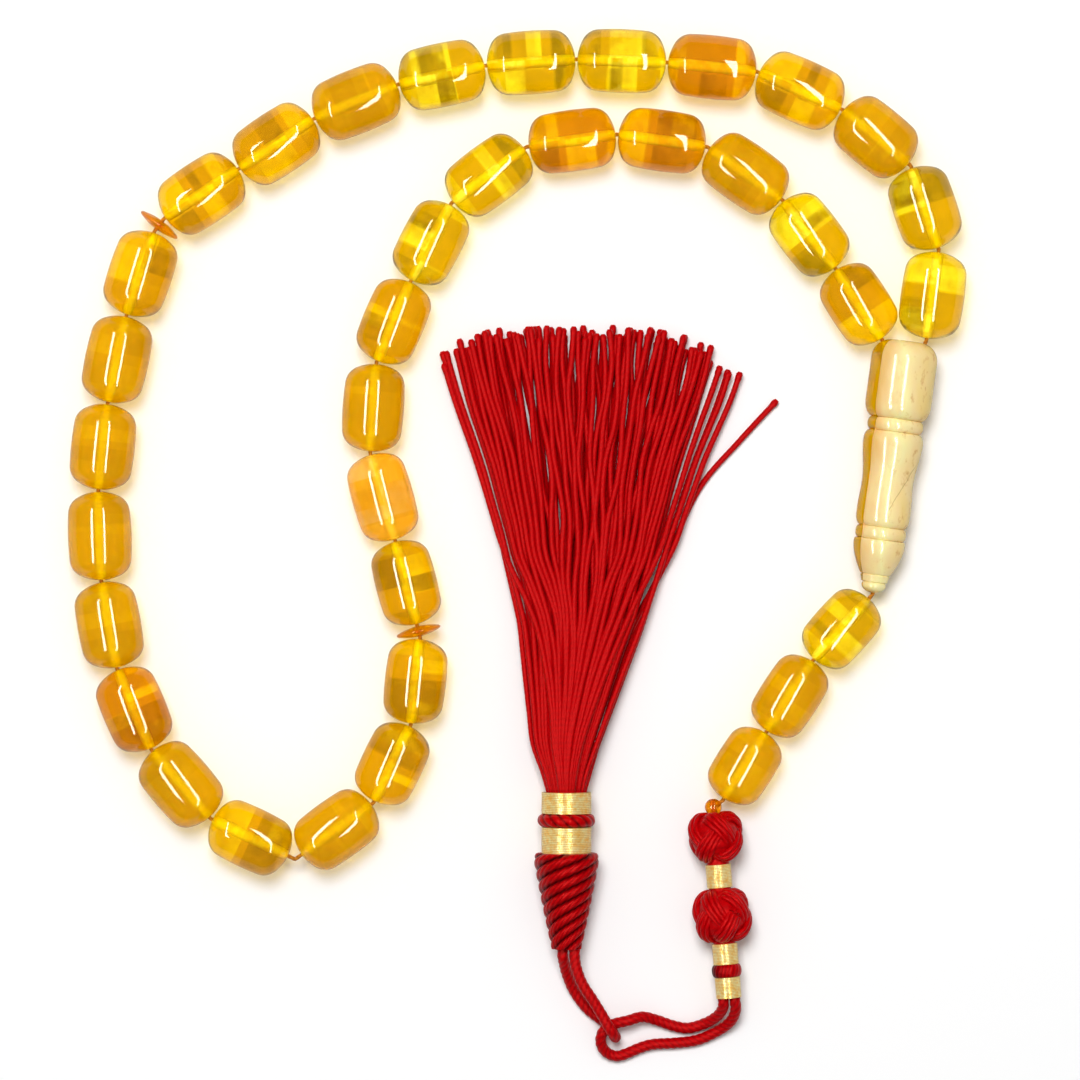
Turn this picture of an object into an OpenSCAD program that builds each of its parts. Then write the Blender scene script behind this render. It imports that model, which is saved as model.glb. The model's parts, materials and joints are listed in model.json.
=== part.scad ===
// Misbaha: a closed string of 33 amber beads with two marker discs, a turned
// two-tone imame, a tail of three beads, two knot balls and gold sleeves, and a
// looped-on tassel. It lies flat on a table: +Z is up, +Y runs from the tassel's
// link cord towards the top of the string, and z = 0 is the table.

/* [Beads] */
// Usual length of a bead along its bore; each bead fills its own step of the string
bead_len = 13.9; // [13.5:0.1:15]
// Largest diameter of the beads on the imame's right, the thickest ones
bead_d = 10.2; // [9:0.1:10.4]
// Length of the first of the three tail beads
tail_bead_len = 13.2; // [12.5:0.1:14]
// Radius of the rounded shoulder between a bead's side and its domed end
shoulder_r = 3; // [2.4:0.1:3.4]
// Bore through every bead and disc
bore_d = 1.2; // [1:0.1:1.6]

/* [Thread and cord] */
// Diameter of the stringing thread
thread_d = 0.7; // [0.4:0.05:0.8]
// Diameter of the red link cord and of the tassel's loop
cord_d = 1.8; // [1.4:0.1:1.8]

/* [Marker discs] */
// Diameter of the two thin discs that divide the beads
disc_d = 7.2; // [6:0.1:8]
// Thickness of a disc at its bore
disc_t = 1.7; // [1.2:0.1:1.8]

/* [Imame] */
// Length of the imame
imame_len = 40.6; // [39.6:0.1:41.6]
// Diameter of its barrel head
imame_d = 10.6; // [10.2:0.1:10.8]

/* [Tail] */
// Diameter of the small amber seed bead
seed_d = 2.7; // [2.2:0.1:3]
// Diameter of the first knot ball
upper_knot_d = 9.3; // [8.6:0.1:9.8]
// Diameter of the second knot ball
lower_knot_d = 9.8; // [8.8:0.1:10]
// Outer diameter of the gold sleeves
sleeve_d = 4.1; // [3.9:0.1:4.6]

/* [Tassel] */
// Largest diameter of the wrapped cone knot
cone_d = 10.8; // [9.6:0.1:10.9]
// Outer diameter of the two gold bands
band_d = 8; // [7.6:0.1:8.4]
// Outer diameter of the red ring between the bands
tassel_ring_d = 9.3; // [8.6:0.1:9.8]

/* [Hidden] */
$fn = 64;
eps = 0.05;
loop_beads = 33;
tail_beads = 3;
// A marker disc follows these beads
disc_after = [11, 22];

function two(i) = str(i < 10 ? "0" : "", i);
function bead_name(i) = str("bead_", two(i));
function tail_bead_name(i) = str("tail_bead_", i);
function disc_name(i) = str("marker_disc_", i);
function sleeve_name(i) = str("gold_sleeve_", i);

amber = [0.95, 0.68, 0.05];
ivory = [0.98, 0.87, 0.62];
red = [0.75, 0.02, 0.05];
gold = [0.95, 0.78, 0.4];
thread_gold = [0.9, 0.6, 0.1];

// The thread's route on the table: the point midway between each bead and the
// next, from the imame's right shoulder round to its left one. The two short
// steps hold the marker discs.
STRING = [
    [65.5, 27.5], [67.5, 42], [63, 55.5], [52, 64.5], [38.5, 70.5], [24, 72], [9.5, 72.5],
    [-5, 71.5], [-19, 68.5], [-32.5, 63], [-44.5, 55], [-56.5, 47], [-58, 45],
    [-62.5, 31.5], [-65.5, 17.5], [-67, 3.5], [-66.5, -11], [-64, -25], [-58.5, -38],
    [-49, -49], [-35.5, -55.5], [-23, -46.5], [-17, -34], [-15.5, -20], [-16, -18],
    [-19.5, -4.5], [-23.5, 9.5], [-22.5, 24], [-17, 37], [-10.5, 49.5], [1.5, 58.5],
    [16, 60.5], [30.5, 58.5], [42.5, 50], [51, 39], [58.5, 27.5]
];
// The tail thread from the imame's tip, past its three beads
TAIL = [[57, -13], [47.5, -23.5], [40, -35], [33, -46]];
// The straight core of the tail, from the seed bead to the last sleeve's mouth
CORE = [[31.5, -47], [34, -77.5]];

// Sizes that the routes above were laid out for
laid_bead_len = 13.9;
laid_tail_len = 13.2;
string_k = bead_len / laid_bead_len;
tail_k = tail_bead_len / laid_tail_len;
// The string's beads are a little slimmer from this one on, and the tail's slimmer still
slim_from = 19;
slim_d = bead_d * 0.965;
tail_bead_d = bead_d * 0.93;
thread_r = thread_d / 2;
bore_r = bore_d / 2;
cord_r = cord_d / 2;

// Small vector helpers
function unit(v) = v / norm(v);
function at_z(p, z) = [p.x, p.y, z];
function flat(v) = [v.x, v.y];
function mix(a, b, t) = a + (b - a) * t;

// ---- The string ----

// The step of the string that holds bead or disc i
function discs_before(i) = len([for (d = disc_after) if (d < i) d]);
function bead_step(i) = i - 1 + discs_before(i);
function disc_step(i) = disc_after[i - 1] + i - 1;

// The thread runs at the height of its beads' centres
last_pt = len(STRING) - 1;
string_pts = [for (i = [0:last_pt])
    at_z(STRING[i] * string_k, (i <= bead_step(slim_from) ? bead_d : slim_d) / 2)];

// Half the space left between two domed bead ends, and the space at the imame
clear = 0.1;
end_gap = 0.3;
function bend(a, b, c) = acos(min(1, unit(b - a) * unit(c - b)));
function is_end(pts, i) = i == 0 || i == len(pts) - 1;
function gap_at(pts, i) = is_end(pts, i) ? end_gap : clear;
function spread(pts, i) =
    is_end(pts, i) ? 1 : 1 / cos(bend(pts[i - 1], pts[i], pts[i + 1]) / 2);
// How far a bead's end stays from point i of the route, so that its dome just
// clears its neighbour's
function stand_off(pts, i, dome_r) = (dome_r + gap_at(pts, i)) * spread(pts, i) - dome_r;
// Length of the bead that fills the route from point i to point i + 1
function fitted_len(pts, i) =
    let (
        lost = gap_at(pts, i) * spread(pts, i) + gap_at(pts, i + 1) * spread(pts, i + 1)
    )
    2 * (norm(pts[i + 1] - pts[i]) - lost) / (spread(pts, i) + spread(pts, i + 1));
// Centre of a bead of the given length between points i and i + 1 of a route,
// set against its neighbour at i + 1
function bead_centre(pts, i, length) =
    let (
        a = pts[i],
        b = pts[i + 1]
    )
    b + unit(a - b) * (stand_off(pts, i + 1, length / 2) + length / 2);

// Puts children that stand along +Z at point p, with their axis towards d
module aim(p, d) {
    translate(p)
        rotate([0, acos(unit(d).z), atan2(d.y, d.x)])
            children();
}

// Points after the start of an arc about c, with its angles measured from the axis
function arc_pts(c, r, from, to) = let (steps = 8)
    [for (k = [1:steps]) let (a = mix(from, to, k / steps)) c + r * [sin(a), cos(a)]];

// Half outline of a bead, radius and height: a domed end, a rounded shoulder and
// a slightly bulging side, all tangent arcs
function bead_outline(length, d) =
    let (
        side_r = 45,
        dome_r = length / 2,
        reach = side_r - d / 2,
        c_rad = (pow(side_r - shoulder_r, 2) - pow(dome_r - shoulder_r, 2) - reach * reach)
            / (2 * reach),
        c_ax = sqrt(pow(dome_r - shoulder_r, 2) - c_rad * c_rad),
        shoulder_from = atan2(c_rad, c_ax),
        shoulder_to = atan2(c_rad + reach, c_ax),
        upper = concat(
            [[0, dome_r]],
            arc_pts([0, 0], dome_r, 0, shoulder_from),
            arc_pts([c_rad, c_ax], shoulder_r, shoulder_from, shoulder_to),
            arc_pts([-reach, 0], side_r, shoulder_to, 90)
        )
    )
    concat(upper, [for (k = [len(upper) - 2:-1:0]) [upper[k].x, -upper[k].y]]);

module bead(length, d) {
    difference() {
        rotate_extrude()
            polygon(bead_outline(length, d));
        cylinder(h = length * 2, r = bore_r, center = true);
    }
}

module loop_bead(i) {
    step = bead_step(i);
    length = fitted_len(string_pts, step);
    color(amber)
        aim(bead_centre(string_pts, step, length), string_pts[step + 1] - string_pts[step])
            bead(length, i < slim_from ? bead_d : slim_d);
}

// Thin lens-shaped disc with a blunt rim
module marker_disc(i) {
    step = disc_step(i);
    a = string_pts[step];
    b = string_pts[step + 1];
    rim_t = 0.4;
    rise = (disc_t - rim_t) / 2;
    face_r = (disc_d * disc_d / 4 + rise * rise) / (2 * rise);
    color(amber)
        aim((a + b) / 2, b - a)
            difference() {
                rotate_extrude()
                    intersection() {
                        lens(disc_t / 2 - face_r, face_r);
                        translate([0, -disc_t])
                            square([disc_d / 2, disc_t * 2]);
                    }
                cylinder(h = disc_t * 3, r = bore_r, center = true);
            }
}

// The lens between two circles whose centres lie below and above it
module lens(centre_y, r) {
    intersection() {
        translate([0, centre_y])
            circle(r, $fn = 128);
        translate([0, -centre_y])
            circle(r, $fn = 128);
    }
}

// ---- The imame ----

head_r = imame_d / 2;
laid_imame_len = 40.6;
imame_k = imame_len / laid_imame_len;
lean = 7.7;
dip = 0.8;
imame_dir = [-sin(lean) * cos(dip), -cos(lean) * cos(dip), -sin(dip)];
head_top = at_z([62.35, 27.4] * string_k, head_r + 0.15);
imame_tip = head_top + imame_dir * imame_len;
// Where the two ends of the string meet inside the head, in a small round space
junction_s = 9;
junction_r = bore_d * 1.2;
junction = head_top + imame_dir * junction_s;
string_ends = [string_pts[0], string_pts[last_pt]];
// The seam between ivory and amber: its tilt about the axis and its offset from it
seam_turn = 35;
seam_off = 1;

// Puts children that stand along +Z from the head's top to the tip, local +Y up
module on_imame() {
    translate(head_top)
        rotate([90 + dip, 0, -lean])
            children();
}

// Radius of the waisted baluster and of the bell, t from 0 to 1 along each
function waist_r(t) = 4.82 - 0.49 * t - 0.43 * pow(sin(180 * t), 2);
function bell_r(t) = 4.15 - 1.68 * pow(t, 1.7);

// Part of an elliptical edge of radius r, drop deep and half long to each side
// of station mid, through the angles from and to
function edge(mid, half, r, drop, from, to) = let (steps = 10)
    [for (k = [0:steps])
        let (a = mix(from, to, k / steps))
            [r - drop * (1 - sin(a)), mid - half * cos(a)]];
function upper_corner(mid, half, r, drop) = edge(mid, half, r, drop, 0, 90);
function lower_corner(mid, half, r, drop) = edge(mid, half, r, drop, 90, 180);
function whole_ring(mid, half, r, drop) = edge(mid, half, r, drop, 0, 180);
// Points of a turned side with the given radii, evenly spaced between two stations
function turned(from, to, radii) = let (last = len(radii) - 1)
    [for (k = [0:last]) [radii[k], mix(from, to, k / last)]];

// The imame's half outline, radius and station, from the top of its head to its
// tip, at its laid length
module imame_outline() {
    steps = 14;
    waist = [for (k = [0:steps]) waist_r(k / steps)];
    bell = [for (k = [1:steps]) bell_r(k / steps)];
    tip_band = [[2.2, 37.7], [2.35, 37.85], [2.1, 38.8], [1.75, 38.95]];
    tip_ball = edge(39.4, 1.2, 1.95, 1.95, 70, 180);
    scale([1, imame_k])
        polygon(concat(
            [[0, 0]],
            upper_corner(3, 3, head_r, 3),
            lower_corner(9.9, 2.65, head_r, 1.4),
            whole_ring(13.6, 1.05, 4.5, 0.6),
            upper_corner(16.3, 1.65, 4.82, 0.9),
            turned(16.4, 28.1, waist),
            lower_corner(28.2, 1.8, 4.33, 0.8),
            whole_ring(31, 1, 4.1, 0.5),
            turned(32.2, 37.6, bell),
            tip_band,
            tip_ball
        ));
}

module imame_bores() {
    // Along the axis, from the tip to the junction
    on_imame()
        translate([0, 0, junction_s - bore_d])
            cylinder(h = imame_len, r = bore_r);
    on_imame()
        translate([0, 0, junction_s])
            sphere(r = junction_r);
    // From the junction out through each shoulder of the head
    out = 3;
    for (p = string_ends)
        aim(junction, p - junction)
            rotate([0, 0, 90])
                cylinder(h = norm(p - junction) + out, r = bore_r);
}

// The turning starts away from the bores and from the seam between the halves
module turned_imame() {
    start_turn = 75;
    on_imame()
        rotate([0, 0, start_turn])
            rotate_extrude()
                imame_outline();
}

// Everything on the amber side of the seam
module amber_side() {
    on_imame()
        rotate([0, 0, seam_turn])
            translate([-imame_d - seam_off, -imame_d, -1])
                cube([imame_d, imame_d * 2, imame_len + 2]);
}

module imame_ivory() {
    color(ivory)
        difference() {
            turned_imame();
            amber_side();
            imame_bores();
        }
}

module imame_amber() {
    color(amber)
        difference() {
            intersection() {
                turned_imame();
                amber_side();
            }
            imame_bores();
        }
}

// ---- Threads and cords ----

// A smooth curve through points p, with n steps to each span
function curve_at(p0, p1, p2, p3, t) =
    0.5 * (2 * p1 + (p2 - p0) * t + (2 * p0 - 5 * p1 + 4 * p2 - p3) * t * t
        + (3 * p1 - p0 - 3 * p2 + p3) * t * t * t);
function smooth(p, n) = concat(
    [for (i = [0:len(p) - 2], k = [0:n - 1])
        curve_at(p[max(i - 1, 0)], p[i], p[i + 1], p[min(i + 2, len(p) - 1)], k / n)],
    [p[len(p) - 1]]
);

// Rings of a tube along points p: the direction at each point, and a side
// vector carried along the route without twist
function heading(p, i) =
    i == 0 ? unit(p[1] - p[0])
    : i == len(p) - 1 ? unit(p[i] - p[i - 1])
    : unit(unit(p[i] - p[i - 1]) + unit(p[i + 1] - p[i]));
function square_to(v, d) = unit(v - d * (v * d));
function side_vectors(p, i, v) =
    i == len(p) ? [] : let (s = square_to(v, heading(p, i))) concat([s], side_vectors(p, i + 1, s));

module tube(p, r, sides = 8) {
    side = side_vectors(p, 0, [0.1, 0.2, 1]);
    last = len(p) - 1;
    points = [for (i = [0:last], k = [0:sides - 1])
        let (d = heading(p, i), a = 360 * k / sides)
            p[i] + r * (cos(a) * side[i] + sin(a) * cross(d, side[i]))];
    walls = [for (i = [0:last - 1], k = [0:sides - 1], half = [0, 1])
        let (a = i * sides + k, b = i * sides + (k + 1) % sides)
            half == 0 ? [a, a + sides, b] : [b, a + sides, b + sides]];
    ends = [
        [for (k = [0:sides - 1]) k],
        [for (k = [sides - 1:-1:0]) last * sides + k]
    ];
    polyhedron(points, concat(ends, walls));
}

// The tail hinges just past the imame's tip, in a short gap between the threads
hinge_gap = 0.35;
// Where the tip was when the tail was laid out
laid_tip = [57, -12.7];
tail_z = tail_bead_d / 2;
tail_shift = at_z(flat(imame_tip) - laid_tip, 0);
tail_pts = [for (p = TAIL) at_z(mix(TAIL[0], p, tail_k), tail_z) + tail_shift];
last_tail = len(tail_pts) - 1;

// One end of the string runs on down the imame to just inside its tip, and the
// other is tied in beside it
module loop_thread() {
    stub_end = imame_tip - imame_dir * eps * 2;
    tied_end = mix(junction, string_ends[1], 0.15);
    color(thread_gold)
        tube(concat([stub_end, junction], string_pts, [tied_end]), thread_r);
}

// ---- The tail ----

core_shift = tail_pts[last_tail] - at_z(TAIL[last_tail], tail_z);
core_z = lower_knot_d / 2;
core_a = at_z(CORE[0], core_z) + core_shift;
core_b = at_z(CORE[1], core_z) + core_shift;
core_dir = unit(core_b - core_a);
core_len = norm(core_b - core_a);
// Two strands of cord fill the core, and this much space is round it
core_r = cord_d;
fit = 0.05;
// Stations along the core
upper_knot_s = 4.8;
lower_knot_s = 17.4;
sleeve_from = [9.2, 21.9, 27.3];
sleeve_to = [12.9, 25.2, core_len];
seed_half = seed_d / 2;

function on_core(s) = core_a + core_dir * s;

// Puts children that stand along +Z at station s of the core
module at_core(s) {
    aim(on_core(s), core_dir)
        children();
}

// The first tail bead is shorter than its step and hangs away from the imame
module tail_bead(i) {
    length = i == 1 ? tail_bead_len : fitted_len(tail_pts, i - 1);
    color(amber)
        aim(bead_centre(tail_pts, i - 1, length), tail_pts[i] - tail_pts[i - 1])
            bead(length, tail_bead_d);
}

module tail_thread() {
    start = tail_pts[0] + unit(tail_pts[1] - tail_pts[0]) * hinge_gap;
    color(thread_gold)
        tube(concat([start], [for (i = [1:last_tail]) tail_pts[i]], [on_core(0), on_core(seed_half)]),
            thread_r);
}

module seed_bead() {
    seed_bore_r = thread_r + fit * 2;
    color(amber)
        at_core(0)
            difference() {
                sphere(d = seed_d);
                cylinder(h = seed_d * 2, r = seed_bore_r, center = true);
            }
}

// A knot ball, flattened where the sleeves meet it, bored for the core
module knot_ball(d, flat_at) {
    difference() {
        intersection() {
            sphere(d = d);
            cylinder(h = flat_at * 2, d = d * 2, center = true);
        }
        cylinder(h = d * 2, r = core_r + fit, center = true);
    }
}

module knot_ball_upper() {
    color(red)
        at_core(upper_knot_s)
            knot_ball(upper_knot_d, sleeve_from[0] - upper_knot_s);
}

module knot_ball_lower() {
    color(red)
        at_core(lower_knot_s)
            knot_ball(lower_knot_d, sleeve_from[1] - lower_knot_s);
}

module collar(length, outer_r, inner_r) {
    difference() {
        cylinder(h = length, r = outer_r);
        translate([0, 0, -1])
            cylinder(h = length + 2, r = inner_r);
    }
}

module gold_sleeve(i) {
    color(gold)
        at_core(sleeve_from[i - 1])
            collar(sleeve_to[i - 1] - sleeve_from[i - 1], sleeve_d / 2, core_r + fit);
}

// A ring of wound cord with a round outer face
module wound_ring(length, outer_r, inner_r) {
    difference() {
        rotate_extrude()
            intersection() {
                translate([outer_r - length / 2, length / 2])
                    circle(d = length);
                square([outer_r, length]);
            }
        translate([0, 0, -1])
            cylinder(h = length + 2, r = inner_r);
    }
}

// One thick red wrap between the second and third sleeves, standing a little proud
module cord_ring() {
    proud = 0.35;
    color(red)
        at_core(sleeve_to[1])
            wound_ring(sleeve_from[2] - sleeve_to[1], sleeve_d / 2 + proud, core_r + fit);
}

// The doubled cord inside the knots and sleeves
module tail_core() {
    color(red)
        at_core(seed_half + fit)
            cylinder(h = core_len - seed_half - fit, r = core_r);
}

// ---- The link between tail and tassel ----

// The link cord's bight is a ring that holds the tassel's loop. The loop turns
// about the point where the ring passes through its eye.
ring_centre = [16.2, -84.5];
bight_r = 2.7;
eye_r = 2.1;
eye_turn = 122;
eye_z = cord_r + eye_r;
link_out = [-cos(eye_turn), -sin(eye_turn), 0];
function ring_pt(a, z) = [ring_centre.x + bight_r * cos(a), ring_centre.y + bight_r * sin(a), z];
link_point = ring_pt(eye_turn, eye_z);

// The link cord leaves the last sleeve as two strands, straight for the first part
strand_off = 0.92;
lead = 0.7;
core_side = [-core_dir.y, core_dir.x, 0];
mouth = at_z(CORE[1], core_z);

// Upper run: sleeve to bight. Lower run: bight back to the sleeve.
UPPER_RUN = [
    [33, -79.4, 4], [32, -80.8, 2.6], [30, -82, 1.3], [27.5, -82.7, 0.9],
    [25.1, -82.3, 0.9], [22.5, -81.4, 1.3], [20.2, -80.8, 2.3], [18, -81.3, 3]
];
LOWER_RUN = [
    [19.8, -85.9, 0.9], [22, -85.3, 0.9], [25.5, -85.1, 0.9], [29.1, -84.6, 0.9],
    [32.4, -83.1, 1.2], [34.4, -81.4, 2.6], [35.1, -79.5, 4.1]
];
BIGHT = [[100, 3], [122, 3], [150, 2.9], [180, 2.4], [210, 1.7], [240, 1.1], [270, 0.9], [300, 0.9]];

module link_cord() {
    route = concat(
        [mouth + core_dir * lead - core_side * strand_off],
        UPPER_RUN,
        [for (b = BIGHT) ring_pt(b[0], b[1])],
        LOWER_RUN,
        [mouth + core_dir * lead + core_side * strand_off]
    );
    ends = [for (side = [-1, 1])
        mouth + core_dir * eps + core_side * strand_off * side];
    color(red)
        translate(core_shift)
            tube(concat([ends[0]], smooth(route, 2), [ends[1]]), cord_r);
}

// ---- The tassel ----

tassel_x = 8;
tassel_z = cone_d / 2;
// Ends of each piece along Y
skirt_neck = -44.6;
ring_from = -48;
ring_to = -50.2;
cone_from = -54.3;
cone_to = -69.7;
band_wall = 0.6;
neck_in_r = band_d / 2 - band_wall;

// Puts children that stand along +Z at y on the tassel's axis, towards -Y
module at_tassel(y) {
    translate(core_shift + [tassel_x, y, tassel_z])
        rotate([90, 0, 0])
            children();
}

// The loop's lower and upper strands, from the cone knot to the eye
LOOP_DOWN = [
    [7.4, -70.9, 4.9], [8, -73.6, 2.8], [9.2, -76.6, 1.3], [11.2, -79.4, 0.9], [13.4, -81.2, 0.9]
];
LOOP_UP = [
    [13.8, -80.5, 5.2], [12.3, -78, 5.4], [10.6, -75.4, 5.6], [9.6, -72.8, 5.6], [9.3, -70.9, 5.7]
];

module tassel_loop() {
    arc = [for (a = [-90:30:90])
        link_point + link_out * eye_r * cos(a) + [0, 0, eye_r * sin(a)]];
    start = [7.4, cone_to - eps, 4.9];
    end = [9.3, cone_to - eps, 5.7];
    color(red)
        translate(core_shift)
            tube(concat([start], LOOP_DOWN, arc, LOOP_UP, [end]), cord_r);
}

// Radius of the wrapped cone, t from 0 at the band to 1 at the loop, with its
// first edge drawn in
function cone_r(t) = cone_d / 2 * (1 - 0.56 * pow(t, 1.15)) * (t < 0.06 ? 0.9 : 1);

module cone_knot() {
    steps = 24;
    length = cone_from - cone_to;
    color(red)
        at_tassel(cone_from)
            rotate_extrude()
                polygon(concat(
                    [[0, 0]],
                    [for (k = [0:steps]) [cone_r(k / steps), length * k / steps]],
                    [[0, length]]
                ));
}

module tassel_band_upper() {
    color(gold)
        at_tassel(skirt_neck)
            collar(skirt_neck - ring_from, band_d / 2, neck_in_r + fit);
}

module tassel_band_lower() {
    color(gold)
        at_tassel(ring_to)
            collar(ring_to - cone_from, band_d / 2, neck_in_r + fit);
}

module tassel_ring() {
    color(red)
        at_tassel(ring_from)
            wound_ring(ring_from - ring_to, tassel_ring_d / 2, neck_in_r + fit);
}

// Sections of the fanned strands: y, left and right edge, bottom and top
FAN = [
    [-42, 3.6, 12.3, 1.1, 9.4],
    [-38, 1.8, 14, 0.5, 9],
    [-30, 0.8, 17.2, 0.1, 7.8],
    [-17, -0.5, 22.2, 0, 6.2],
    [-4, -3.2, 26.2, 0, 5],
    [8, -6.8, 30.4, 0, 4.2],
    [18, -10.4, 34.8, 0, 3.6],
    [23, -12.4, 36.6, 0, 3.4],
    [26.5, -11.4, 29.5, 0, 3.2],
    [29.5, -8, 18, 0, 3]
];

module tassel_skirt() {
    sides = 24;
    neck = [
        tassel_x - neck_in_r, tassel_x + neck_in_r, tassel_z - neck_in_r, tassel_z + neck_in_r
    ];
    rows = concat([concat(cone_from + eps, neck), concat(skirt_neck, neck)], FAN);
    last = len(rows) - 1;
    points = [for (row = rows, k = [0:sides - 1])
        let (a = 360 * k / sides)
            [(row[1] + row[2]) / 2 + (row[2] - row[1]) / 2 * cos(a),
             row[0],
             (row[3] + row[4]) / 2 + (row[4] - row[3]) / 2 * sin(a)]];
    walls = [for (i = [0:last - 1], k = [0:sides - 1], half = [0, 1])
        let (a = i * sides + k, b = i * sides + (k + 1) % sides)
            half == 0 ? [a, a + sides, b] : [b, a + sides, b + sides]];
    ends = [
        [for (k = [0:sides - 1]) k],
        [for (k = [sides - 1:-1:0]) last * sides + k]
    ];
    color(red)
        translate(core_shift)
            polyhedron(points, concat(ends, walls));
}

for (i = [1:loop_beads])
    loop_bead(i);
for (i = [1:tail_beads])
    tail_bead(i);
for (i = [1:2])
    marker_disc(i);
for (i = [1:3])
    gold_sleeve(i);
imame_ivory();
imame_amber();
loop_thread();
tail_thread();
seed_bead();
knot_ball_upper();
knot_ball_lower();
cord_ring();
tail_core();
link_cord();
tassel_loop();
cone_knot();
tassel_band_upper();
tassel_band_lower();
tassel_ring();
tassel_skirt();
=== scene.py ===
"""Looks for a string of amber prayer beads with an imame, a beaded tail and a tassel.

Lengths are in millimetres in the frame of the CAD model, and MM turns them into metres. Only the
lamps and the floor are laid out in metres.
"""

import json
import math
import random

import bmesh
import bpy
import numpy as np
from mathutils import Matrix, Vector


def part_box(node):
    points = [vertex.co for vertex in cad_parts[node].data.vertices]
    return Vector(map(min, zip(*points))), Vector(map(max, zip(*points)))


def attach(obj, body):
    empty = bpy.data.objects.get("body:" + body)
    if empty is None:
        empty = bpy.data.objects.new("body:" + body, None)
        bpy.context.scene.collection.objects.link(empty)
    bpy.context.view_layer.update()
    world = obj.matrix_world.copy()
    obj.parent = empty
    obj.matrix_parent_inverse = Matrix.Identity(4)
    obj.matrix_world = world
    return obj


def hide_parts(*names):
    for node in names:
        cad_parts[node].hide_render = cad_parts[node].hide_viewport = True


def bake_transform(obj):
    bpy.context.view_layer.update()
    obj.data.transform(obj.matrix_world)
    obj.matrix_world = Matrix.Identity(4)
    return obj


MM = 0.001

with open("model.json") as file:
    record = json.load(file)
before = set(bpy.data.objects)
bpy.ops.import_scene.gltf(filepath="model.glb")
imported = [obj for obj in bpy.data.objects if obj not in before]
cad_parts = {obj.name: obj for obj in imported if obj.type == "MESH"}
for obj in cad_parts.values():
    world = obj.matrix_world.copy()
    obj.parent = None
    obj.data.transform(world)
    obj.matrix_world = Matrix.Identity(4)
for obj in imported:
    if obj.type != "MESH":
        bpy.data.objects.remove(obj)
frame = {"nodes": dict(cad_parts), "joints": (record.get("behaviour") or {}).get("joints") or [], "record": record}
nodes = frame["nodes"]
joints = {j["name"]: j for j in frame["joints"]}
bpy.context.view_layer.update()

# ---- Camera, lights and floor ----

# What the picture takes in at the height of the beads' axes, and its middle
VIEW_WIDTH = 172.8
VIEW_CENTRE = (3.68, -4.4)
BEAD_AXIS_Z = 5.1
LENS = 200
SENSOR = 36


def make_camera():
    """Straight above, with the scale set at the height of the beads' axes."""
    data = bpy.data.cameras.new("top_camera")
    data.lens = LENS
    data.sensor_width = SENSOR
    data.clip_start, data.clip_end = 0.01, 10
    camera = bpy.data.objects.new("top_camera", data)
    distance = VIEW_WIDTH * LENS / SENSOR
    camera.location = (
        VIEW_CENTRE[0] * MM,
        VIEW_CENTRE[1] * MM,
        (BEAD_AXIS_Z + distance) * MM,
    )
    bpy.context.scene.collection.objects.link(camera)
    bpy.context.scene.camera = camera


def area_light(name, place, aim, size, power, seen_by):
    """A rectangular lamp. seen_by names the kinds of ray that it lights."""
    data = bpy.data.lights.new(name, "AREA")
    data.shape = "RECTANGLE"
    data.size, data.size_y = size
    data.energy = power
    lamp = bpy.data.objects.new(name, data)
    lamp.location = place
    lamp.rotation_mode = "QUATERNION"
    lamp.rotation_quaternion = (Vector(aim) - Vector(place)).to_track_quat("-Z", "Y")
    lamp.visible_camera = False
    lamp.visible_diffuse = "diffuse" in seen_by
    lamp.visible_glossy = "glossy" in seen_by
    lamp.visible_transmission = "transmission" in seen_by
    bpy.context.scene.collection.objects.link(lamp)
    return lamp


def make_lights():
    """Two strips that show as lines on whatever is polished, and a soft lamp overhead."""
    middle = (0, 0, 0)
    height, length, warm_white = 0.6, 0.7, (1, 0.97, 0.84)
    # Name, place to the side, width and power
    strips = (("strip_left", -0.33, 0.09, 4.6), ("strip_right", 0.16, 0.075, 3.6))
    for name, x, width, power in strips:
        lamp = area_light(name, (x, 0, height), middle, (length, width), power, ["glossy"])
        lamp.data.color = warm_white
    top_place, top_size, top_power = (-0.1, 0.37, 1.2), (0.45, 0.45), 12.6
    area_light("soft_top", top_place, middle, top_size, top_power, ["diffuse"])


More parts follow.
